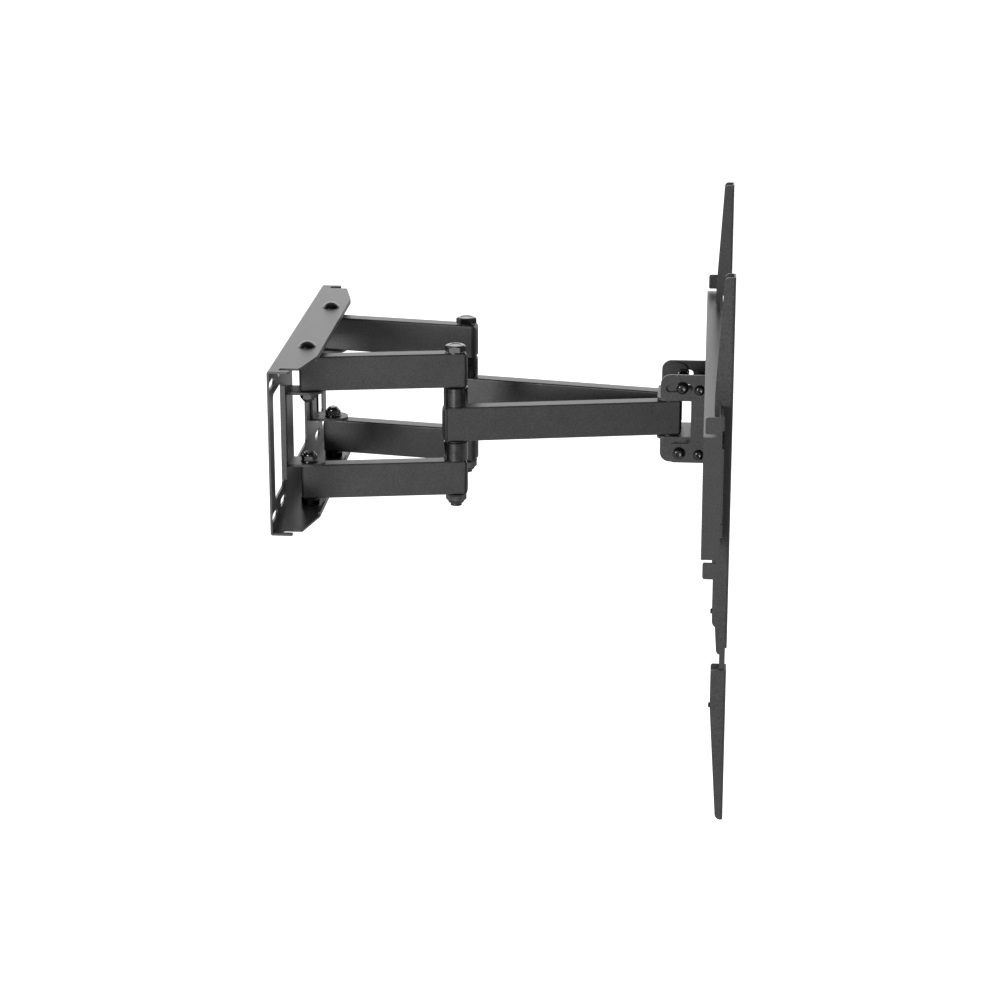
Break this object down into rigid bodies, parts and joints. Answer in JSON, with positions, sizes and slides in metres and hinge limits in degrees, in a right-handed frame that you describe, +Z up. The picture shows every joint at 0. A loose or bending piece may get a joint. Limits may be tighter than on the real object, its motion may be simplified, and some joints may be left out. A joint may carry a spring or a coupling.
{
  "type": "full motion tv wall mount",
  "caption": "Full motion TV wall mount: slotted wall plate, two folding double arms, tilting head, and a wide plate with hooked uprights that carry the screen.",
  "frame": {"origin": "centre of the wall plate's back face, which is the centre of the lag screw pattern", "axes": "+X from the wall to the screen, +Y to the right of someone who faces the wall, +Z up"},
  "size_m": [0.533, 0.7, 0.646],
  "materials": {
    "powder_coat": "fine-textured charcoal powder coat on pressed steel",
    "black_plastic": "moulded black polyethylene, satin",
    "nylon": "moulded black nylon",
    "black_zinc": "black zinc plate, glossy",
    "spacer_steel": "satin black turned steel"
  },
  "bodies": {
    "wall_side": {"wall_plate": "powder_coat", "wall_pivot_bolts": "black_zinc", "wall_pivot_nuts": "black_zinc", "wall_pivot_spacers": "spacer_steel", "pivot_bracket_left": "powder_coat", "pivot_bracket_right": "powder_coat"},
    "fork_left": {"upper_arm_left": "powder_coat", "lower_arm_left": "powder_coat", "arm_end_caps_left": "black_plastic", "wall_pivot_bushes_left": "nylon", "elbow_bolt_left": "black_zinc", "elbow_nut_left": "black_zinc", "elbow_spacers_left": "spacer_steel"},
    "outer_arm_left": {"forearm_left": "powder_coat", "forearm_end_caps_left": "black_plastic", "elbow_bush_left": "nylon", "elbow_washers_left": "nylon", "head_bush_left": "nylon"},
    "fork_right": {"upper_arm_right": "powder_coat", "lower_arm_right": "powder_coat", "arm_end_caps_right": "black_plastic", "wall_pivot_bushes_right": "nylon", "elbow_bolt_right": "black_zinc", "elbow_nut_right": "black_zinc", "elbow_spacers_right": "spacer_steel"},
    "outer_arm_right": {"forearm_right": "powder_coat", "forearm_end_caps_right": "black_plastic", "elbow_bush_right": "nylon", "elbow_washers_right": "nylon"},
    "swivel_head": {"head_bracket": "powder_coat", "head_bolt_left": "black_zinc", "head_bolt_right": "black_zinc", "head_nut_left": "black_zinc", "head_nut_right": "black_zinc", "head_washers": "nylon", "tilt_pivot_screws": "black_zinc", "tilt_lock_screws": "black_zinc", "tilt_washers": "black_zinc", "tilt_nuts": "black_zinc"},
    "tv_side": {"yoke_cheek_left": "powder_coat", "yoke_cheek_right": "powder_coat", "yoke_base": "powder_coat", "cheek_screws": "black_zinc", "yoke_base_screws": "black_zinc", "tv_plate": "powder_coat"},
    "tv_upright_left": {"upright_left": "powder_coat", "upright_extension_left": "powder_coat", "extension_bolts_left": "black_zinc"},
    "tv_upright_right": {"upright_right": "powder_coat", "upright_extension_right": "powder_coat", "extension_bolts_right": "black_zinc"}
  },
  "joints": [
    {"name": "arm_fold", "type": "hinge", "parent": "wall_side", "child": "fork_left", "pos_m": [0.029, -0.1, 0], "axis": [0, 0, -1], "range_deg": [0, 96]},
    {"name": "arm_fold_right", "type": "hinge", "parent": "wall_side", "child": "fork_right", "pos_m": [0.029, 0.1, 0], "axis": [0, 0, 1], "range_deg": [0, 96]},
    {"name": "elbow_left", "type": "hinge", "parent": "fork_left", "child": "outer_arm_left", "pos_m": [0.203, -0.07, 0], "axis": [0, 0, 1], "range_deg": [0, 166]},
    {"name": "elbow_right", "type": "hinge", "parent": "fork_right", "child": "outer_arm_right", "pos_m": [0.203, 0.07, 0], "axis": [0, 0, -1], "range_deg": [0, 167]},
    {"name": "head_swivel", "type": "hinge", "parent": "outer_arm_left", "child": "swivel_head", "pos_m": [0.459, -0.02, 0], "axis": [0, 0, -1], "range_deg": [0, 70]},
    {"name": "tilt", "type": "hinge", "parent": "swivel_head", "child": "tv_side", "pos_m": [0.471, 0, -0.042], "axis": [0, 1, 0], "range_deg": [-5, 10]},
    {"name": "upright_slide_left", "type": "slide", "parent": "tv_side", "child": "tv_upright_left", "axis": [0, 1, 0], "range_m": [-0.061, 0.167]},
    {"name": "upright_slide_right", "type": "slide", "parent": "tv_side", "child": "tv_upright_right", "axis": [0, -1, 0], "range_m": [-0.061, 0.167]}
  ],
  "couplings": [
    {"joint": "arm_fold_right", "follows": "arm_fold", "ratio": 1},
    {"joint": "elbow_left", "follows": "arm_fold", "ratio": 1.7245},
    {"joint": "elbow_right", "follows": "arm_fold", "ratio": 1.7285},
    {"joint": "head_swivel", "follows": "arm_fold", "ratio": 0.7245}
  ]
}
